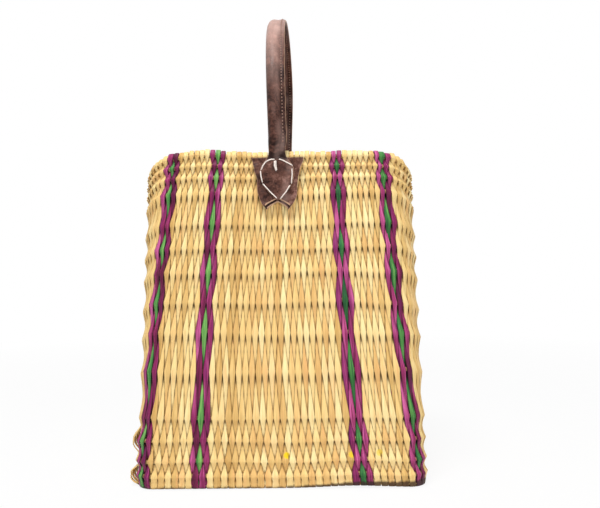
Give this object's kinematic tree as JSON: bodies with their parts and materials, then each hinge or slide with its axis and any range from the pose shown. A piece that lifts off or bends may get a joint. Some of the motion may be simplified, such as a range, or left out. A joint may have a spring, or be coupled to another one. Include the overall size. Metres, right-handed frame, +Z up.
{
  "type": "market basket",
  "caption": "Tall rectangular reed basket woven over cane hoops, with dyed upright stripes and a rolled leather handle arching over the mouth.",
  "frame": {"origin": "on the floor under the middle of the base", "axes": "+Z up; the front wall with its leather patch faces -Y; +X to the right seen from the front; the handle arches from front to back in the YZ plane"},
  "size_m": [0.3028, 0.23, 0.5085],
  "materials": {
    "reed": "natural split reed, satin, straw coloured",
    "purple_reed": "reed dyed purple, satin",
    "green_reed": "reed dyed green, satin",
    "cane": "cane, matt straw brown",
    "leather": "dark brown leather, worn, with raw edges",
    "lace": "waxed off-white thread",
    "core": "bundle of dry reed"
  },
  "bodies": {
    "basket": {"back_lacing": "lace", "back_left_corner_green_reed": "green_reed", "back_left_corner_purple_reed_1": "purple_reed", "back_left_corner_purple_reed_2": "purple_reed", "back_left_reeds": "reed", "back_left_stripe_green_reed": "green_reed", "back_left_stripe_purple_reed_1": "purple_reed", "back_left_stripe_purple_reed_2": "purple_reed", "back_patch": "leather", "back_reeds": "reed", "back_right_corner_green_reed": "green_reed", "back_right_corner_purple_reed_1": "purple_reed", "back_right_corner_purple_reed_2": "purple_reed", "back_right_reeds": "reed", "back_right_stripe_green_reed": "green_reed", "back_right_stripe_purple_reed_1": "purple_reed", "back_right_stripe_purple_reed_2": "purple_reed", "back_tongue": "leather", "base_cane_1": "cane", "base_cane_2": "cane", "base_cane_3": "cane", "base_cane_4": "cane", "base_cane_5": "cane", "base_mat": "reed", "front_lacing": "lace", "front_left_corner_green_reed": "green_reed", "front_left_corner_purple_reed_1": "purple_reed", "front_left_corner_purple_reed_2": "purple_reed", "front_left_reeds": "reed", "front_left_stripe_green_reed": "green_reed", "front_left_stripe_purple_reed_1": "purple_reed", "front_left_stripe_purple_reed_2": "purple_reed", "front_patch": "leather", "front_reeds": "reed", "front_right_corner_green_reed": "green_reed", "front_right_corner_purple_reed_1": "purple_reed", "front_right_corner_purple_reed_2": "purple_reed", "front_right_reeds": "reed", "front_right_stripe_green_reed": "green_reed", "front_right_stripe_purple_reed_1": "purple_reed", "front_right_stripe_purple_reed_2": "purple_reed", "front_tongue": "leather", "hoop_01": "cane", "hoop_02": "cane", "hoop_03": "cane", "hoop_04": "cane", "hoop_05": "cane", "hoop_06": "cane", "hoop_07": "cane", "hoop_08": "cane", "hoop_09": "cane", "hoop_10": "cane", "hoop_11": "cane", "hoop_12": "cane", "hoop_13": "cane", "hoop_14": "cane", "left_side_reeds": "reed", "right_side_reeds": "reed"},
    "handle": {"handle_cover": "leather", "handle_core": "core"}
  },
  "joints": [
    {"name": "handle_swing", "type": "hinge", "parent": "basket", "child": "handle", "pos_m": [0, 0, 0.35195], "axis": [0, 1, 0], "range_deg": [-80, 80]}
  ]
}
